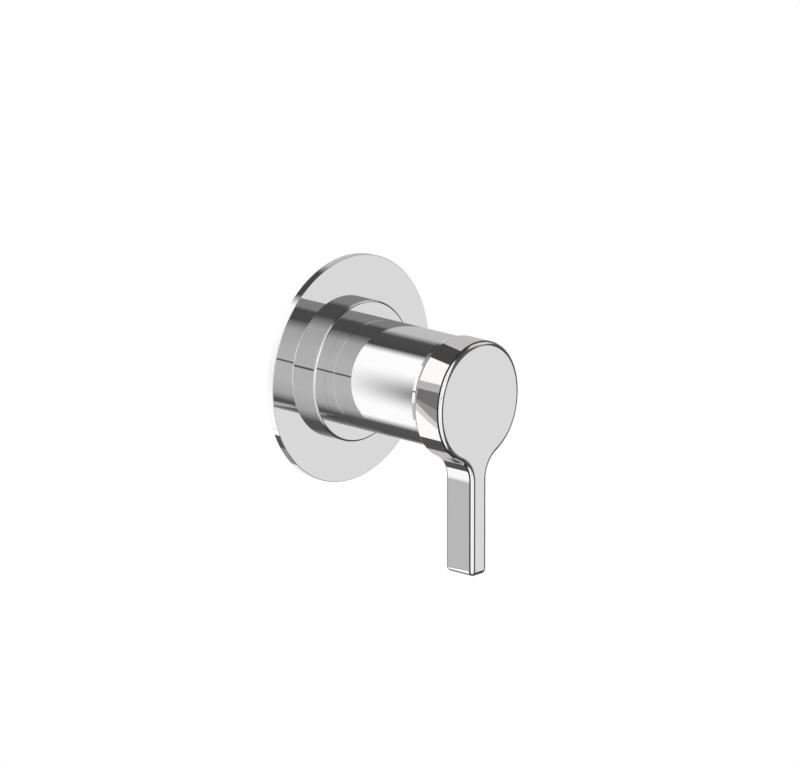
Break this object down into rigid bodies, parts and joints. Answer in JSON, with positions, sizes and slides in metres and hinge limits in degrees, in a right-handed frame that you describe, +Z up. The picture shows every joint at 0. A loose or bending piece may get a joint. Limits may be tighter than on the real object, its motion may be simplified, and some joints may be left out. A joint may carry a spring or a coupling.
{
  "type": "shower mixer",
  "caption": "Wall-mounted single-lever shower mixer: round flange, collar, sleeve and flat-bladed handle in chrome, with a concealed brass valve body and ceramic cartridge.",
  "frame": {"origin": "centre of the wall flange's back, on the wall face and on the valve's axis", "axes": "-Y points out of the wall into the room, +Z is up, +X is to the right seen from the room"},
  "size_m": [0.09, 0.11, 0.1156],
  "materials": {
    "chrome_plate": "polished chrome plate",
    "cast_brass": "sand-cast brass, machined at the seats",
    "turned_brass": "turned brass",
    "steel": "turned steel",
    "white_plastic": "moulded engineering plastic",
    "dark_plastic": "moulded engineering plastic",
    "red_plastic": "moulded engineering plastic",
    "ceramic": "lapped alumina ceramic",
    "rubber": "moulded nitrile rubber",
    "foam": "closed-cell foam"
  },
  "bodies": {
    "fixed": {"wall_flange": "chrome_plate", "flange_gasket": "foam", "collar_ring": "chrome_plate", "collar_o_ring": "rubber", "sleeve": "chrome_plate", "sleeve_o_ring": "rubber", "valve_body": "cast_brass", "cartridge_base": "white_plastic", "port_seals": "rubber", "disc_seals": "rubber", "fixed_disc": "ceramic", "cartridge_housing": "dark_plastic", "limiter_ring": "red_plastic", "cartridge_nut": "turned_brass", "cover_cap": "chrome_plate"},
    "turning": {"swivel": "white_plastic", "pivot_pin": "steel"},
    "lever": {"spindle": "turned_brass", "handle": "chrome_plate", "grub_screw": "steel", "grub_plug": "chrome_plate"},
    "discs": {"disc_carrier": "white_plastic", "moving_disc": "ceramic"}
  },
  "joints": [
    {"name": "temperature", "type": "hinge", "parent": "fixed", "child": "turning", "pos_m": [0, 0, 0], "axis": [0, -1, 0], "range_deg": [-45, 45]},
    {"name": "flow", "type": "hinge", "parent": "turning", "child": "lever", "pos_m": [0, -0.0395, 0], "axis": [-1, 0, 0], "range_deg": [0, 22]},
    {"name": "disc_slide", "type": "slide", "parent": "turning", "child": "discs", "axis": [0, 0, -1], "range_m": [0, 0.0032]}
  ],
  "couplings": [
    {"joint": "disc_slide", "follows": "flow", "m_per_rad": 0.0082927}
  ]
}
